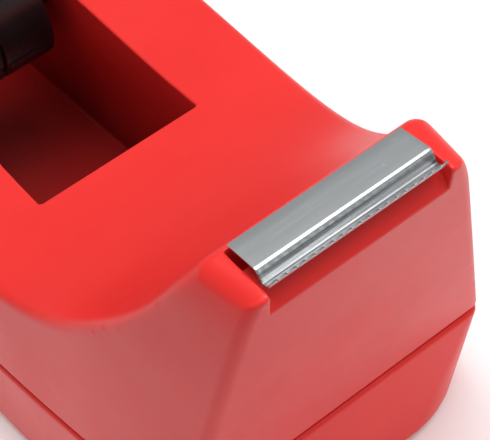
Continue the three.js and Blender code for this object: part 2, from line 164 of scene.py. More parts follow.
def saddle_table():
    """The saddle's height and slope along X, blurred so that its curvature is even."""
    x = np.arange(-60, 90, TABLE_STEP)
    z = np.full(x.shape, HUMP_Z)
    for (x0, z0, s0), (x1, z1, s1) in zip(SADDLE, SADDLE[1:]):
        d = x1 - x0
        t = (x - x0) / d
        cubic = z0 + (z1 - z0) * t * t * (3 - 2 * t) + d * (s0 * t * (1 - t) ** 2 - s1 * t * t * (1 - t))
        z = np.where((x <= x0) & (x > x1), cubic, z)
    x0, z0, s0 = SADDLE[0]
    z = np.where(x > x0, z0 + s0 * (x - x0), z)
    reach = np.arange(-BLUR_REACH, BLUR_REACH + 1)
    weight = np.exp(-0.5 * (reach / BLUR_WIDTH) ** 2)
    smooth = np.convolve(np.pad(z, BLUR_REACH, mode="edge"), weight / weight.sum(), mode="valid")
    return x, smooth, np.gradient(smooth, x)


TABLE_X, TABLE_Z, TABLE_SLOPE = saddle_table()


def profile(x, z):
    """Side-view outline, and the radius of its edge with the body's sides."""
    slope = np.interp(x, TABLE_X, TABLE_SLOPE)
    along = (z - np.interp(x, TABLE_X, TABLE_Z)) / np.hypot(1, slope)
    ear_x, ear_z = SADDLE[0][0], SADDLE[0][1]
    ear = (z - ear_z + EAR_SLOPE * (x - ear_x)) / math.hypot(1, EAR_SLOPE)
    front = (x - SEAM_FRONT_X - FRONT_LEAN * (z - SEAM_Z)) / math.hypot(1, FRONT_LEAN)
    top = both(ear, along, 0.8)
    nose = both(top, front, 0.75)
    run = HUMP_X - REAR_X
    u = np.maximum((HUMP_X - x) / run, 0)
    v = np.maximum(z - (HUMP_Z - REAR_DROP), 0) / REAR_DROP
    g = np.maximum((u**REAR_POWER + v**REAR_POWER) ** (1 / REAR_POWER), 1e-4)
    gx = (u / g) ** (REAR_POWER - 1) / run
    gz = (v / g) ** (REAR_POWER - 1) / REAR_DROP
    size = np.hypot(gx, gz) + 1e-9
    rear = (g - 1) / size
    facing = np.clip((gx / size - 0.12) / 0.88, 0, 1) ** 1.4
    high = np.clip((z - BLADE_Z + 6) / 4, 0, 1)
    edge = SHOULDER + (EAR_SHOULDER - SHOULDER) * high * high * (3 - 2 * high)
    edge += (FRONT_CORNER - edge) * np.clip((front - top + 0.6) / 1.2, 0, 1)
    radius = np.where(x < HUMP_X, SHOULDER + (REAR_CORNER - SHOULDER) * facing, edge)
    return np.where(x < HUMP_X, rear, nose), radius


def seam_half_width(x):
    """Half width at the seam and its slope."""
    front = (x + 27) / 85.9
    rear = (-27 - x) / 48
    half = np.where(x > -27, 31 - 7.1 * front**2, 31 - 1.5 * rear**2)
    slope = np.where(x > -27, -14.2 * front / 85.9, 3.0 * rear / 48)
    return half, slope


def flank(x, y, z):
    half, slope = seam_half_width(x)
    above = z > SEAM_Z
    draft = np.where(above, SIDE_DRAFT, 0.0)
    pinch = EAR_PINCH * np.clip((z - BLADE_Z + 9) / 8, 0, 1.1) ** 3
    return (np.abs(y) - half + pinch + draft * (z - SEAM_Z)) / np.sqrt(1 + slope**2 + draft**2)


def body(x, y, z):
    outline, radius = profile(x, z)
    return both(flank(x, y, z), outline, radius)


def plan(x, y, z, flare=0.0, lean=0.0, rounding=0.0):
    """Plan outline at the seam. Below it the sides flare, the ends lean in and the corners grow rounder."""
    half, slope = seam_half_width(x)
    below = np.maximum(PAN_TOP_Z - z, 0)
    side = (np.abs(y) - half - flare * below) / np.sqrt(1 + slope**2 + flare**2)
    front = (x - SEAM_FRONT_X + lean * below) / math.hypot(1, lean)
    rear = (REAR_X - x + lean * below) / math.hypot(1, lean)
    return both(both(side, front, FRONT_CORNER + rounding * below), rear, REAR_CORNER)


def notch(x, y, z):
    """Seat of the blade, the slanted recess under its teeth and the slot for its tongue."""
    behind = BLADE_X - SEAT_BACK - x
    seat = both(behind, BLADE_Z - SEAT_DROP - z, 0.2)
    nx, nz = RECESS_NORMAL
    slant = -(nx * (x - BLADE_X - RECESS_START) + nz * (z - BLADE_Z + SEAT_DROP)) / math.hypot(nx, nz)
    recess = both(slant, BLADE_Z - RECESS_DROP - z, 0.15)
    slot = both(both(behind, x - BLADE_X - TONGUE_SLOT_LENGTH, 0.2), BLADE_Z - TONGUE_SLOT_DROP - z, 0.2)
    cut = np.minimum(either(seat, recess, 0.2), slot)
    return both(cut, np.abs(y) - NOTCH_HALF_WIDTH, 0.2)


def axle_slots(x, y, z):
    mouth = both(np.abs(x - AXLE_X) - SLOT_HALF_WIDTH, AXLE_Z - z, 0.1)
    seat = np.hypot(x - AXLE_X, z - AXLE_Z) - SLOT_HALF_WIDTH
    return both(np.minimum(mouth, seat), np.abs(np.abs(y) - SLOT_Y) - SLOT_HALF_DEPTH, 0.3)


def shell_field(x, y, z):
    """Upper shell: a skin, the well's walls, the axle's bosses and four posts, less the cuts."""
    full = body(x, y, z)
    outer = both(full, RIM_Z - z, 0.8)
    room = both(both(full + WALL, z - ROOM_TOP_Z, 2), x - ROOM_FRONT_X, 2)
    rabbet = both(np.maximum(full, plan(x, y, z)) + SKIRT, z - RIM_Z - SKIRT_RISE, 0.4)
    skin = less(less(outer, room, 0.3), rabbet, 0.2)
    lo = (WELL[0] - WELL_WALL, -WELL_HALF_WIDTH - WELL_WALL, WELL_FLOOR_Z - WELL_WALL)
    hi = (WELL[1] + WELL_WALL, WELL_HALF_WIDTH + WELL_WALL, ABOVE)
    inner = block(x, y, z, lo, hi, 0.8)
    lo = (AXLE_X - BOSS_HALF_LENGTH, BOSS_Y[0], BOSS_FOOT_Z)
    hi = (AXLE_X + BOSS_HALF_LENGTH, BOSS_Y[1], ABOVE)
    inner = np.minimum(inner, block(x, np.abs(y), z, lo, hi, 0.8))
    for at in SCREWS.values():
        inner = np.minimum(inner, rod(x, y, z, at, POST_RADIUS, POST_FOOT_Z, ABOVE))
    inner = np.maximum(inner, full)
    solid = either(skin, inner, 0.6)
    solid = np.maximum(solid, full)
    lo = (WELL[0], -WELL_HALF_WIDTH, WELL_FLOOR_Z)
    hi = (WELL[1], WELL_HALF_WIDTH, ABOVE)
    solid = less(solid, block(x, y, z, lo, hi, 0.5), 0.4)
    solid = less(solid, notch(x, y, z), 0.18)
    solid = less(solid, axle_slots(x, y, z), 0.35)
    for at in SCREWS.values():
        solid = less(solid, rod(x, y, z, at, PILOT_RADIUS, 0, PILOT_TOP_Z), 0.2)
    return solid


def pan_field(x, y, z):
    """Base pan: a tub with a tongue inside the shell's skirt, screw bosses and foot pockets."""
    outline = plan(x, y, z, PAN_FLARE, PAN_LEAN, PAN_ROUNDING)
    outer = both(both(outline, 1.0 - z, 1.6), z - PAN_TOP_Z, 0.8)
    groove_bed = both(both(plan(x, y, z) + 0.75, z - 21.1, 0.1), 19 - z, 0.1)
    tongue = both(both(plan(x, y, z) + 1.7, z - 22.6, 0.3), 16.4 - z, 0.3)
    hollow = both(outline + 2.9, 3.4 - z, 2)
    solid = less(either(np.minimum(outer, groove_bed), tongue, 0.2), hollow, 0.3)
    for at in SCREWS.values():
        boss = np.maximum(rod(x, y, z, at, *SCREW_BOSS), outer)
        solid = either(solid, boss, 0.5)
        solid = less(solid, rod(x, y, z, at, HEAD_BORE[0], BELOW, HEAD_BORE[1]), 0.25)
        solid = less(solid, rod(x, y, z, at, SHANK_BORE[0], BELOW, SHANK_BORE[1]), 0.15)
    for at in FEET.values():
        solid = less(solid, rod(x, y, z, at, FOOT_POCKET[0], BELOW, FOOT_POCKET[1]), 0.25)
    return solid


# ---- meshes --------------------------------------------------------------------------
def spaced(*runs):
    """Grid planes from (start, stop, step) runs that follow on from each other."""
    planes = []
    for start, stop, step in runs:
        planes.append(np.linspace(start, stop, max(2, round((stop - start) / step) + 1))[:-1])
    planes.append([runs[-1][1]])
    return np.concatenate(planes)


def mirrored(*runs):
    half = spaced(*runs)
    return np.concatenate([-half[:0:-1], half])


SNAP_ROUNDS = 4
SLOPE_STEP = 0.02


def skinned(field, xs, ys, zs):
    """Quads over the field's surface: one point per grid cell that it crosses, moved onto it."""
    v = field(*np.meshgrid(xs, ys, zs, indexing="ij"))
    inside = v < 0
    cells = tuple(n - 1 for n in v.shape)
    total = np.zeros(cells + (3,))
    count = np.zeros(cells)
    grids = (xs, ys, zs)
    edges = []
    for axis in range(3):
        others = [a for a in range(3) if a != axis]
        near = [slice(None)] * 3
        far = [slice(None)] * 3
        near[axis] = slice(0, -1)
        far[axis] = slice(1, None)
        a, b = v[tuple(near)], v[tuple(far)]
        i, j, k = np.nonzero(inside[tuple(near)] != inside[tuple(far)])
        spot = [i, j, k]
        t = a[i, j, k] / (a[i, j, k] - b[i, j, k])
        point = np.stack([grids[c][spot[c]] for c in range(3)], 1)
        point[:, axis] += t * (grids[axis][spot[axis] + 1] - grids[axis][spot[axis]])
        edges.append((spot, a[i, j, k] < 0))
        for du in (0, 1):
            for dv in (0, 1):
                cell = [s.copy() for s in spot]
                cell[others[0]] -= du
                cell[others[1]] -= dv
                ok = np.all([(cell[c] >= 0) & (cell[c] < cells[c]) for c in range(3)], axis=0)
                flat = np.ravel_multi_index([c[ok] for c in cell], cells)
                np.add.at(count.reshape(-1), flat, 1)
                np.add.at(total.reshape(-1, 3), flat, point[ok])
    used = np.nonzero(count.reshape(-1))[0]
    number = np.full(count.size, -1)
    number[used] = np.arange(len(used))
    number = number.reshape(cells)
    p = total.reshape(-1, 3)[used] / count.reshape(-1)[used][:, None]
    i, j, k = np.unravel_index(used, cells)
    reach = 0.7 * np.stack([np.diff(xs)[i], np.diff(ys)[j], np.diff(zs)[k]], 1)
    start = p.copy()
    for _ in range(SNAP_ROUNDS):
        d, g = slope_at(field, p)
        move = -(d / np.maximum((g**2).sum(1), 0.05))[:, None] * g
        p = start + np.clip(p + move - start, -reach, reach)
    normals = slope_at(field, p)[1]
    normals /= np.linalg.norm(normals, axis=1, keepdims=True) + 1e-9
    quads = []
    for axis in range(3):
        spot, outward = edges[axis]
        b, c = [(1, 2), (2, 0), (0, 1)][axis]
        ok = (spot[b] > 0) & (spot[c] > 0) & (spot[b] < cells[b]) & (spot[c] < cells[c])
        at = [s[ok] for s in spot]
        corners = []
        for db, dc in ((1, 1), (0, 1), (0, 0), (1, 0)):
            cell = [s.copy() for s in at]
            cell[b] -= db
            cell[c] -= dc
            corners.append(number[tuple(cell)])
        quad = np.stack(corners, 1)
        flip = ~outward[ok]
        quad[flip] = quad[flip][:, ::-1]
        quads.append(quad)
    return p, np.concatenate(quads), normals


def slope_at(field, p):
    """The field at each point, and its gradient there."""
    d = field(p[:, 0], p[:, 1], p[:, 2])
    g = []
    for axis in range(3):
        step = np.zeros(3)
        step[axis] = SLOPE_STEP
        ahead, behind = p + step, p - step
        g.append((field(*ahead.T) - field(*behind.T)) / (2 * SLOPE_STEP))
    return d, np.stack(g, 1)


def from_arrays(name, points, faces, normals=None):
    """A smooth-shaded piece from points in millimetres."""
    mesh = bpy.data.meshes.new(name)
    faces = faces.tolist() if isinstance(faces, np.ndarray) else faces
    mesh.from_pydata((np.asarray(points) * MM).tolist(), [], faces)
    mesh.validate()
    mesh.polygons.foreach_set("use_smooth", [True] * len(mesh.polygons))
    if normals is not None:
        mesh.normals_split_custom_set_from_vertices(normals.tolist())
    piece = bpy.data.objects.new(name, mesh)
    scene.collection.objects.link(piece)
    return piece


def settle(piece, body_name, slot, material, *nodes):
    """Rides on its body and stands for its CAD nodes."""
    piece.data.materials.clear()
    piece.data.materials.append(material)
    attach(piece, body_name)
    if nodes:
        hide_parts(*nodes)
    return piece


# ---- materials -----------------------------------------------------------------------
class Paint:
    """A small helper around one material's node tree."""

    def __init__(self, name):
        self.material = bpy.data.materials.new(name)
        self.material.use_nodes = True
        self.tree = self.material.node_tree
        self.tree.nodes.clear()
        self.shader = self.tree.nodes.new("ShaderNodeBsdfPrincipled")
        out = self.tree.nodes.new("ShaderNodeOutputMaterial")
        self.tree.links.new(self.shader.outputs[0], out.inputs[0])
        self.place = self.tree.nodes.new("ShaderNodeTexCoord").outputs["Object"]

    def set(self, **values):
        for key, value in values.items():
            self.shader.inputs[key.replace("_", " ")].default_value = value
        return self

    def link(self, a, b):
        self.tree.links.new(a, b)
        return self

    def axes(self):
        node = self.tree.nodes.new("ShaderNodeSeparateXYZ")
        self.link(self.place, node.inputs[0])
        return node.outputs

    def scaled(self, scale, turn=(0, 0, 0)):
        node = self.tree.nodes.new("ShaderNodeMapping")
        node.inputs["Scale"].default_value = scale
        node.inputs["Rotation"].default_value = turn
        self.link(self.place, node.inputs["Vector"])
        return node.outputs[0]

    def noise(self, vector, scale, detail=2.0, rough=0.5):
        node = self.tree.nodes.new("ShaderNodeTexNoise")
        node.inputs["Scale"].default_value = scale
        node.inputs["Detail"].default_value = detail
        node.inputs["Roughness"].default_value = rough
        self.link(vector, node.inputs["Vector"])
        return node.outputs["Fac"]

    def between(self, value, a, b, to_a, to_b):
        node = self.tree.nodes.new("ShaderNodeMapRange")
        for key, number in zip(("From Min", "From Max", "To Min", "To Max"), (a, b, to_a, to_b)):
            node.inputs[key].default_value = number
        self.link(value, node.inputs["Value"])
        return node.outputs[0]

    def math(self, how, a, b):
        node = self.tree.nodes.new("ShaderNodeMath")
        node.operation = how
        for socket, value in zip(node.inputs, (a, b)):
            if isinstance(value, (int, float)):
                socket.default_value = value
            else:
                self.link(value, socket)
        return node.outputs[0]

    def ramp(self, value, *stops):
        node = self.tree.nodes.new("ShaderNodeValToRGB")
        ramp = node.color_ramp
        while len(ramp.elements) < len(stops):
            ramp.elements.new(0.5)
        for element, (at, colour) in zip(ramp.elements, stops):
            element.position = at
            element.color = (*colour, 1)
        self.link(value, node.inputs["Fac"])
        return node.outputs["Color"]

    def mix(self, fac, a, b):
        node = self.tree.nodes.new("ShaderNodeMix")
        node.data_type = "RGBA"
        for socket, value in zip((node.inputs[0], node.inputs[6], node.inputs[7]), (fac, a, b)):
            if isinstance(value, tuple):
                socket.default_value = (*value, 1)
            elif isinstance(value, (int, float)):
                socket.default_value = value
            else:
                self.link(value, socket)
        return node.outputs[2]

    def edges(self, a, b):
        """0 on flats to 1 on outside edges."""
        node = self.tree.nodes.new("ShaderNodeNewGeometry")
        return self.between(node.outputs["Pointiness"], a, b, 0, 1)

    def bump(self, *layers):
        """Layers of (height, distance in metres), one on top of the other."""
        last = None
        for height, distance in layers:
            node = self.tree.nodes.new("ShaderNodeBump")
            node.inputs["Strength"].default_value = 1.0
            node.inputs["Distance"].default_value = distance
            self.link(height, node.inputs["Height"])
            if last is not None:
                self.link(last, node.inputs["Normal"])
            last = node.outputs["Normal"]
        self.link(last, self.shader.inputs["Normal"])
        return self


# The mask stands for shade, not for a different plastic: the lights alone leave the well too bright.
WELL_MASK_X = (-0.0624, 0.0148)
WELL_MASK_Y = 0.0137
WELL_MASK_Z = (0.01, 0.037)
WELL_MASK_STRENGTH = 0.82
WELL_MASK_RED = (0.13, 0.0008, 0.0008)


def red_plastic(name, with_well=False):
    """Satin red. with_well adds a mask that paints the shade down in the well."""
    p = Paint(name)
    p.set(IOR=1.4, Subsurface_Weight=0.12, Subsurface_Scale=0.0025)
    p.shader.inputs["Subsurface Radius"].default_value = (1.0, 0.12, 0.08)
    cloud = p.noise(p.place, 45, 3)
    base = p.ramp(cloud, (0.3, (0.755, 0.022, 0.019)), (0.7, (0.82, 0.029, 0.024)))
    if with_well:
        x, y, z = p.axes()
        rear, front = WELL_MASK_X
        along = p.math("MULTIPLY", p.math("LESS_THAN", x, front), p.math("GREATER_THAN", x, rear))
        inside = p.math("MULTIPLY", along, p.math("LESS_THAN", p.math("ABSOLUTE", y, 0.0), WELL_MASK_Y))
        deep = p.math("MULTIPLY", inside, p.between(z, *WELL_MASK_Z, WELL_MASK_STRENGTH, 0.0))
        base = p.mix(deep, base, WELL_MASK_RED)
    # Outside edges, in noisy patches, are painted a lighter, whitish red and made a little glossier: partly
    # edge wear, partly a painted sheen.
    rub = p.between(p.noise(p.place, 260, 4, 0.7), 0.42, 0.62, 0.1, 0.5)
    wear_and_sheen = p.math("MULTIPLY", p.edges(0.515, 0.56), rub)
    p.link(p.mix(wear_and_sheen, base, (0.9, 0.055, 0.045)), p.shader.inputs["Base Color"])
    smear = p.noise(p.scaled((60, 60, 60)), 1.0, 5, 0.65)
    rough = p.between(smear, 0.3, 0.7, 0.33, 0.43)
    p.link(p.math("SUBTRACT", rough, p.math("MULTIPLY", wear_and_sheen, 0.08)), p.shader.inputs["Roughness"])
    grain = p.noise(p.place, 3200, 2)
    lines = p.noise(p.scaled((900, 25, 900), (0.2, 0.1, 0.15)), 1.0, 2)
    scratch = p.between(lines, 0.72, 0.78, 0.0, 1.0)
    p.bump((grain, 0.0000035), (scratch, -0.000002))
    return p.material


# Colours of the painted dark reflection on the blade's wall, and how strongly it covers the steel.
DARK_STREAK = (0.09, 0.092, 0.095)
PALE_STREAK = (0.3, 0.305, 0.31)
PAINTED_REFLECTION_STRENGTH = 0.92


def steel(name, colour, rough, grain, lengthways=1, painted_reflection_span=None):
    """Brushed along one axis (0, 1 or 2). The last argument gives two stations along X, in metres, between
    which a mask paints dark streaks: a painted dark reflection, in place of the dark surroundings that real
    steel would reflect there."""
    p = Paint(name)
    p.set(Metallic=1.0)
    scale = [grain, grain, grain]
    scale[lengthways] = grain / 60
    streak = p.noise(p.scaled(tuple(scale)), 1.0, 3, 0.6)
    cloud = p.noise(p.place, 160, 3)
    dark = tuple(0.94 * c for c in colour)
    tint = p.ramp(streak, (0.3, dark), (0.7, colour))
    tint = p.mix(p.between(cloud, 0.35, 0.7, 0.0, 0.35), tint, tuple(min(1, 1.08 * c) for c in colour))
    # Painted reflection: dark and pale streaks on the blade's small upright wall, between the two stations.
    if painted_reflection_span:
        x = p.axes()[0]
        start = p.between(x, painted_reflection_span[0], painted_reflection_span[0] + 0.0002, 0, 1)
        reflection_band = p.math("MULTIPLY", start, p.between(x, painted_reflection_span[1] - 0.0005, painted_reflection_span[1], 1, 0))
        fine = p.noise(p.scaled((9000, 60, 9000)), 1.0, 2)
        line = p.ramp(fine, (0.35, DARK_STREAK), (0.65, PALE_STREAK))
        tint = p.mix(p.math("MULTIPLY", reflection_band, PAINTED_REFLECTION_STRENGTH), tint, line)
    p.link(tint, p.shader.inputs["Base Color"])
    spots = p.between(p.noise(p.place, 700, 3, 0.7), 0.66, 0.74, 0.0, 0.08)
    mixed = p.math("ADD", p.between(streak, 0.25, 0.75, rough - 0.02, rough + 0.03), spots)
    p.link(mixed, p.shader.inputs["Roughness"])
    p.bump((streak, 0.0000003))
    return p.material


def black_plastic(name):
    p = Paint(name)
    p.set(IOR=1.52)
    cloud = p.noise(p.place, 90, 3)
    base = p.ramp(cloud, (0.35, (0.006, 0.006, 0.007)), (0.7, (0.011, 0.011, 0.012)))
    p.link(base, p.shader.inputs["Base Color"])
    rub = p.noise(p.scaled((240, 30, 240)), 1.0, 4, 0.7)
    p.link(p.between(rub, 0.3, 0.75, 0.2, 0.36), p.shader.inputs["Roughness"])
    p.bump((p.noise(p.place, 2600, 2), 0.0000025))
    return p.material


def cast_iron(name):
    p = Paint(name)
    p.set(Metallic=0.85)
    grit = p.noise(p.place, 700, 5, 0.7)
    rust = p.between(p.noise(p.place, 90, 4, 0.6), 0.52, 0.66, 0.0, 0.55)
    grey = p.ramp(grit, (0.3, (0.05, 0.05, 0.052)), (0.7, (0.15, 0.15, 0.155)))
    p.link(p.mix(rust, grey, (0.12, 0.05, 0.025)), p.shader.inputs["Base Color"])
    p.link(p.between(grit, 0.3, 0.7, 0.55, 0.85), p.shader.inputs["Roughness"])
    p.bump((grit, 0.00012), (p.noise(p.place, 2500, 2), 0.00003))
    return p.material


def rubber(name):
    p = Paint(name)
    p.set(IOR=1.48)
    dust = p.between(p.noise(p.place, 500, 4, 0.7), 0.5, 0.75, 0.0, 0.4)
    p.link(p.mix(dust, (0.018, 0.018, 0.019), (0.06, 0.057, 0.053)), p.shader.inputs["Base Color"])
    p.link(p.between(dust, 0, 0.4, 0.72, 0.92), p.shader.inputs["Roughness"])
    p.bump((p.noise(p.place, 1800, 3), 0.00001))
    return p.material


SHELL_RED = red_plastic("shell_red_plastic", with_well=True)
PAN_RED = red_plastic("pan_red_plastic")
# The blade's upright wall, 72.6 to 73.9 mm along X, gets a painted dark reflection.
BLADE_STEEL = steel("blade_brushed_steel", (0.72, 0.74, 0.75), 0.31, 7000, painted_reflection_span=(0.0726, 0.0739))
CUT_STEEL = steel("blade_sheared_edge", (0.5, 0.5, 0.51), 0.34, 9000, 0)
AXLE_STEEL = steel("axle_ground_steel", (0.5, 0.5, 0.5), 0.28, 4000, 0)
SCREW_STEEL = steel("screw_zinc_steel", (0.55, 0.55, 0.53), 0.36, 2500, 2)
HUB_BLACK = black_plastic("hub_black_plastic")
IRON = cast_iron("ballast_cast_iron")
RUBBER = rubber("foot_rubber")

# ---- upper shell and base pan: the planes are closest where the edges are sharpest ---
shell = from_arrays(
    "upper_shell_moulding",
    *skinned(
        shell_field,
        spaced(
            (-76.4, -64.6, 1.2),
            (-64.6, -60.8, 0.38),
            (-60.8, -40.4, 1.2),
            (-40.4, -26.8, 0.4),
            (-26.8, 13.2, 1.35),
            (13.2, 17.2, 0.4),
            (17.2, 50.0, 1.25),
            (50.0, 62.5, 0.85),
            (62.5, 66.7, 0.42),
            (66.7, 76.6, 0.27),
        ),
        mirrored((0, 10.5, 1.05), (10.5, 15.7, 0.36), (15.7, 25, 0.66), (25, 32.2, 0.9)),
        spaced(
            (5.3, 20.6, 1.2),
            (20.6, 22.0, 0.23),
            (22.0, 25.2, 0.5),
            (25.2, 36.2, 1.3),
            (36.2, 43.0, 0.32),
            (43.0, 58.0, 1.0),
            (58.0, 60.0, 0.42),
            (60.0, 66.4, 0.27),
        ),
    ),
)
settle(shell, "root", "shell_red", SHELL_RED, "upper_shell")

pan = from_arrays(
    "base_pan_moulding",
    *skinned(
        pan_field,
        spaced((-76.4, -50.0, 1.1), (-50.0, 46.0, 1.3), (46.0, 54.0, 1.0), (54.0, 60.2, 0.55)),
        mirrored((0, 33.6, 0.95)),
        spaced(
            (0.3, 4.5, 0.4),
            (4.5, 15.6, 1.1),
            (15.6, 17.2, 0.5),
            (17.2, 19.4, 0.9),
            (19.4, 21.0, 0.23),
            (21.0, 24.6, 0.6),
        ),
    ),
)
settle(pan, "root", "pan_red", PAN_RED, "base_pan")


# ---- blade ---------------------------------------------------------------------------
def arc(x, z, radius, start, stop, steps):
    """Side-view points of an arc, angles in degrees from +X."""
    angles = np.radians(np.linspace(start, stop, steps + 1))
    return [(x + radius * math.cos(a), z + radius * math.sin(a)) for a in angles]


BLADE_HALF_WIDTH = 11.0
BLADE_THICKNESS = 0.25
TOOTH_PITCHES = 19.5
LIP_ROOT = (6.571, -0.87)
LIP_TIP = (7.16, -0.03)
TONGUE_HALF_WIDTH = 8
TONGUE_DROP = 4.6
BURR = 0.04  # bevel of the sheet's edges


def strip_mesh():
    """The folded strip. Its side-view line is the top side, measured from the rear top edge."""
    line = [(0.0, 0.0), (1.5, 0.0), (3.0, 0.0)]
    line += arc(4.42, -0.5, 0.5, 90, 19, 10)
    line += arc(5.535, -1.279, 0.3, 199, 290, 10)
    line += arc(5.986, -1.009, 0.4, 290, 325, 5)
    line = np.array(line + [LIP_ROOT, LIP_TIP])
    along = np.gradient(line, axis=0)
    along /= np.linalg.norm(along, axis=1, keepdims=True)
    under = line + BLADE_THICKNESS * np.stack([along[:, 1], -along[:, 0]], 1)
    rows = len(line) - 1
    half_pitch = BLADE_HALF_WIDTH / TOOTH_PITCHES
    count = round(2 * TOOTH_PITCHES) + 1
    points, faces = [], []
    for k in range(count):
        y = k * half_pitch - BLADE_HALF_WIDTH
        for side in (line, under):
            points += [(BLADE_X + x, y, BLADE_Z + z) for x, z in side]
    top = [[k * 2 * (rows + 1) + i for i in range(rows + 1)] for k in range(count)]
    low = [[index + rows + 1 for index in column] for column in top]
    for k in range(count - 1):
        for i in range(rows - 1):
            faces.append((top[k][i], top[k][i + 1], top[k + 1][i + 1], top[k + 1][i]))
            faces.append((low[k][i], low[k + 1][i], low[k + 1][i + 1], low[k][i + 1]))
        faces.append((top[k][0], top[k + 1][0], low[k + 1][0], low[k][0]))
        root, tip = rows - 1, rows
        if k % 2 == 0:
            faces.append((top[k][root], top[k + 1][tip], top[k + 1][root]))
            faces.append((low[k][root], low[k + 1][root], low[k + 1][tip]))
            faces.append((top[k][root], low[k][root], low[k + 1][tip], top[k + 1][tip]))
        else:
            faces.append((top[k][root], top[k][tip], top[k + 1][root]))
            faces.append((low[k][root], low[k + 1][root], low[k][tip]))
            faces.append((top[k][tip], low[k][tip], low[k + 1][root], top[k + 1][root]))
    for i in range(rows - 1):
        faces.append((top[0][i], low[0][i], low[0][i + 1], top[0][i + 1]))
    for i in range(rows):
        faces.append((top[-1][i], top[-1][i + 1], low[-1][i + 1], low[-1][i]))
    return points, faces


def refined(piece, *modifiers):
    """Applies modifiers given as (type, settings) and leaves a plain mesh."""
    for kind, settings in modifiers:
        modifier = piece.modifiers.new(kind.lower(), kind)
        for key, value in settings.items():
            setattr(modifier, key, value)
    bpy.context.view_layer.update()
    mesh = bpy.data.meshes.new_from_object(piece.evaluated_get(bpy.context.evaluated_depsgraph_get()))
    piece.modifiers.clear()
    old = piece.data
    piece.data = mesh
    bpy.data.meshes.remove(old)
    return piece


def helper_box(lo, hi):
    x0, y0, z0 = lo
    x1, y1, z1 = hi
    points = [(x, y, z) for x in (x0, x1) for y in (y0, y1) for z in (z0, z1)]
    faces = [(0, 1, 3, 2), (4, 6, 7, 5), (0, 4, 5, 1), (2, 3, 7, 6), (0, 2, 6, 4), (1, 5, 7, 3)]
    return from_arrays("helper", points, faces)


blade = from_arrays("cutting_blade_strip", *strip_mesh())
tongue = helper_box(
    (BLADE_X, -TONGUE_HALF_WIDTH, BLADE_Z - TONGUE_DROP),
    (BLADE_X + BLADE_THICKNESS, TONGUE_HALF_WIDTH, BLADE_Z - BLADE_THICKNESS / 2),
)
refined(blade, ("BOOLEAN", {"object": tongue, "operation": "UNION", "solver": "EXACT"}))
bpy.data.objects.remove(tongue)
softened = {"width": BURR * MM, "segments": 2, "limit_method": "ANGLE", "angle_limit": math.radians(38)}
refined(blade, ("BEVEL", softened))
blade.data.set_sharp_from_angle(angle=math.radians(32))
settle(blade, "root", "blade_steel", BLADE_STEEL, "cutting_blade")
blade.data.materials.append(CUT_STEEL)
for face in blade.data.polygons:
    face.material_index = int(abs(face.normal.y) > 0.6)


# ---- hub, axle -----------------------------------------------------------------------
HUB_BORE = 3.3
HUB_SLEEVE = 5.4
DRUM_WALL = 1.8


def hub_field(x, y, z):
    """Right half of the hub: drum, web, sleeve, six ribs, and six grips between them outside."""
    r = np.hypot(x - AXLE_X, z - AXLE_Z)
    turn = np.arctan2(z - AXLE_Z, x - AXLE_X)
    sixth = math.pi / 3
    near = (turn + sixth / 2) % sixth - sixth / 2
    beside, out = r * np.sin(near), r * np.cos(near)
    drum = both(both(r - DRUM_RADIUS, DRUM_RADIUS - DRUM_WALL - r, 0.3), np.abs(y - 4.675) - 4.525, 0.45)
    web = both(r - 12, np.abs(y - 1.175) - 1.025, 0.2)
    sleeve = both(both(r - HUB_SLEEVE, HUB_BORE - r, 0.3), np.abs(y - 6.425) - 6.275, 0.3)
    rib = both(both(np.abs(beside) - 0.7, np.abs(out - 8) - 3.2, 0.1), np.abs(y - 5) - 3.2, 0.3)
    solid = either(either(drum, web, 0.5), either(sleeve, rib, 0.4), 0.4)
    near = (turn + sixth) % sixth - sixth / 2
    beside, out = r * np.sin(near), r * np.cos(near)
    grip = both(both(np.abs(beside) - 0.8, np.abs(out - 12.2) - 0.5, 0.3), np.abs(y - 4.5) - 3.9, 0.4)
    solid = either(solid, grip, 0.25)
    return np.maximum(solid, HUB_BORE - r)


points, quads, normals = skinned(
    hub_field,
    spaced((AXLE_X - 13.4, AXLE_X + 13.4, 0.42)),
    spaced((-0.3, 0.7, 0.25), (0.7, 8.4, 0.5), (8.4, 9.6, 0.3), (9.6, 12.2, 0.6), (12.2, 13.1, 0.3)),
    spaced((AXLE_Z - 13.4, AXLE_Z + 13.4, 0.42)),
)
flip = np.array([1, -1, 1])
right_half = from_arrays("hub_right_moulding", points, quads, normals)
left_half = from_arrays("hub_left_moulding", points * flip, quads[:, ::-1], normals * flip)
settle(right_half, "hub", "hub_black", HUB_BLACK, "hub_right_half")
settle(left_half, "hub", "hub_black", HUB_BLACK, "hub_left_half")


TURNED_SIDES = 48


def turned(name, outline, place, axis="Z"):
    """Closed turned piece from (radius, height) points that start and end on the axis."""
    points, faces = [], []
    inner = outline[1:-1]
    sides = TURNED_SIDES
    angles = [2 * math.pi * i / sides for i in range(sides)]
    for radius, height in inner:
        points += [(radius * math.cos(a), radius * math.sin(a), height) for a in angles]
    for k in range(len(inner) - 1):
        for i in range(sides):
            a, b = k * sides + i, k * sides + (i + 1) % sides
            faces.append((a, b, b + sides, a + sides))
    low, high = len(points), len(points) + 1
    points += [(0, 0, outline[0][1]), (0, 0, outline[-1][1])]
    last = (len(inner) - 1) * sides
    for i in range(sides):
        j = (i + 1) % sides
        faces.append((low, j, i))
        faces.append((high, last + i, last + j))
    points = np.array(points)
    if axis == "Y":
        points = points[:, [1, 2, 0]]
    piece = from_arrays(name, points + np.array(place), faces)
    piece.data.set_sharp_from_angle(angle=math.radians(40))
    return piece


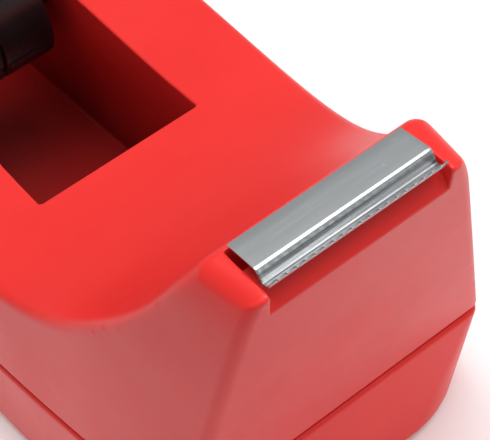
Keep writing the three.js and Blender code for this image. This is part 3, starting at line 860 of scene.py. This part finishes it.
# one end of the axle, (radius, distance from the middle): a ring groove, a chamfer and a flat end
AXLE_END = [(3, 13), (2.8, 13.2), (2.8, 13.8), (3, 14)]
AXLE_END += [(3, 15.3), (2.85, 15.7), (2.2, 16.35), (1.9, 16.4), (0, 16.4)]
axle = turned(
    "hub_axle_rod",
    [(radius, -y) for radius, y in reversed(AXLE_END)] + [(3, y) for y in (-9, -4, 0, 4, 9)] + AXLE_END,
    (AXLE_X, 0, AXLE_Z),
    "Y",
)
settle(axle, "axle", "axle_steel", AXLE_STEEL, "hub_axle")

# ---- underside: feet and screws ------------------------------------------------------
FOOT_OUTLINE = [(0, 0.45), (1.6, 0.42), (2.6, 0.25), (2.9, 0.06), (3.1, 0), (3.9, 0), (4.1, 0.08), (4.2, 0.3)]
FOOT_OUTLINE += [(4.35, 0.3), (4.45, 0.1), (4.6, 0.03), (4.85, 0.15)]
FOOT_OUTLINE += [(5, 0.45), (5, 1.6), (4.9, 1.9), (4.6, 2), (0, 2)]
for corner, (x, y) in FEET.items():
    foot = turned(f"{corner}_foot_pad", FOOT_OUTLINE, (x, y, 0))
    settle(foot, "root", "foot_rubber", RUBBER, f"{corner}_foot")


def screw_field(x, y, z):
    """Pan-head screw with a cross recess, head down, on the Z axis."""
    r = np.hypot(x, y)
    dome = np.sqrt(x**2 + y**2 + (z - 4.9) ** 2) - 3.3
    head = both(both(r - 2.8, z - 3.5, 0.15), dome, 0.35)
    shank = both(r - 1.3, np.abs(z - 10) - 7, 0.25)
    solid = either(head, shank, 0.2)
    taper = 0.12 * (z - 1.6)
    long = both(np.abs(x) - 1.6 + 2 * taper, np.abs(y) - 0.36 + taper, 0.08)
    short = both(np.abs(x) - 0.36 + taper, np.abs(y) - 1.6 + 2 * taper, 0.08)
    cross = both(either(long, short, 0.15), z - 2.6, 0.1)
    return less(solid, cross, 0.08)


span = mirrored((0, 2.1, 0.15), (2.1, 3.1, 0.2))
heights = spaced((1.2, 3.9, 0.15), (3.9, 16.2, 1.2), (16.2, 17.4, 0.3))
points, quads, normals = skinned(screw_field, span, span, heights)
for corner, (x, y) in SCREWS.items():
    screw = from_arrays(f"{corner}_screw_steel", points + np.array((x, y, 0)), quads, normals)
    settle(screw, "root", "screw_steel", SCREW_STEEL, f"{corner}_screw")

# ---- ballast: the castings are the CAD solids with softened, rough skins -------------
grit = bpy.data.textures.new("grit", "CLOUDS")
grit.noise_scale = 0.004
for node in ("front_ballast", "left_ballast", "right_ballast"):
    casting = bpy.data.objects.new(f"{node}_casting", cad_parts[node].data.copy())
    scene.collection.objects.link(casting)
    refined(
        casting,
        ("REMESH", {"mode": "VOXEL", "voxel_size": 0.9 * MM, "use_smooth_shade": True}),
        ("SMOOTH", {"factor": 0.5, "iterations": 3}),
        ("DISPLACE", {"texture": grit, "texture_coords": "LOCAL", "strength": 0.25 * MM, "mid_level": 1.0}),
    )
    settle(casting, "root", "ballast_iron", IRON, node)

# ---- floor, light, camera ------------------------------------------------------------
FLOOR_PALE = (0.9, 0.9, 0.9)
FLOOR_DARK = (0.16, 0.16, 0.165)
FADE = (0.08, 0.3)  # where the floor starts and ends fading, in metres


def graded_floor():
    """Pale under and behind the dispenser, fading to dark grey in front, which shades the nose."""
    mesh = bpy.data.meshes.new("floor")
    mesh.from_pydata([(-1.6, -1.6, 0), (1.6, -1.6, 0), (1.6, 1.6, 0), (-1.6, 1.6, 0)], [], [(0, 1, 2, 3)])
    floor = bpy.data.objects.new("floor", mesh)
    scene.collection.objects.link(floor)
    p = Paint("floor_white")
    p.set(Roughness=0.8, Emission_Color=(1, 1, 1, 1), Emission_Strength=0.08)
    x, y, _ = p.axes()
    ahead = p.math("SUBTRACT", x, p.math("MULTIPLY", y, 0.7))
    far = p.math("ADD", ahead, p.between(p.noise(p.place, 6, 3), 0.3, 0.7, -0.02, 0.02))
    base = p.ramp(p.between(far, *FADE, 0, 1), (0.0, FLOOR_PALE), (1.0, FLOOR_DARK))
    p.link(base, p.shader.inputs["Base Color"])
    mesh.materials.append(p.material)


def softbox(name, place, aim, size, watts):
    lamp = bpy.data.lights.new(name, "AREA")
    lamp.shape = "RECTANGLE"
    lamp.size, lamp.size_y = size
    lamp.energy = watts
    holder = bpy.data.objects.new(name, lamp)
    holder.location = place
    holder.rotation_euler = (Vector(place) - Vector(aim)).to_track_quat("Z", "Y").to_euler()
    scene.collection.objects.link(holder)


graded_floor()
world = bpy.data.worlds.new("studio")
world.use_nodes = True
world.node_tree.nodes["Background"].inputs["Color"].default_value = (0.97, 0.99, 1.0, 1)
world.node_tree.nodes["Background"].inputs["Strength"].default_value = 0.36
scene.world = world
softbox("high_softbox", (0.16, 0.08, 0.62), (0.03, 0, 0.04), (0.4, 0.6), 4.1)

CAMERA_PLACE = (0.15764, -0.04793, 0.15968)
CAMERA_LENS = 103.05  # millimetres, on a sensor 36 mm wide
CAMERA_RIGHT = (0.56945, 0.79363, -0.21419)
CAMERA_BACK = (0.66674, -0.29352, 0.68506)
camera = bpy.data.objects.new("camera", bpy.data.cameras.new("camera"))
camera.data.sensor_width = 36
camera.data.lens = CAMERA_LENS
camera.data.clip_start = 0.01
right = Vector(CAMERA_RIGHT).normalized()
back = Vector(CAMERA_BACK).normalized()
up = back.cross(right).normalized()
turn = Matrix((right, up, back)).transposed().to_4x4()
camera.matrix_world = Matrix.Translation(Vector(CAMERA_PLACE)) @ turn
scene.collection.objects.link(camera)
scene.camera = camera
scene.view_settings.view_transform = "Standard"

bpy.context.view_layer.update()
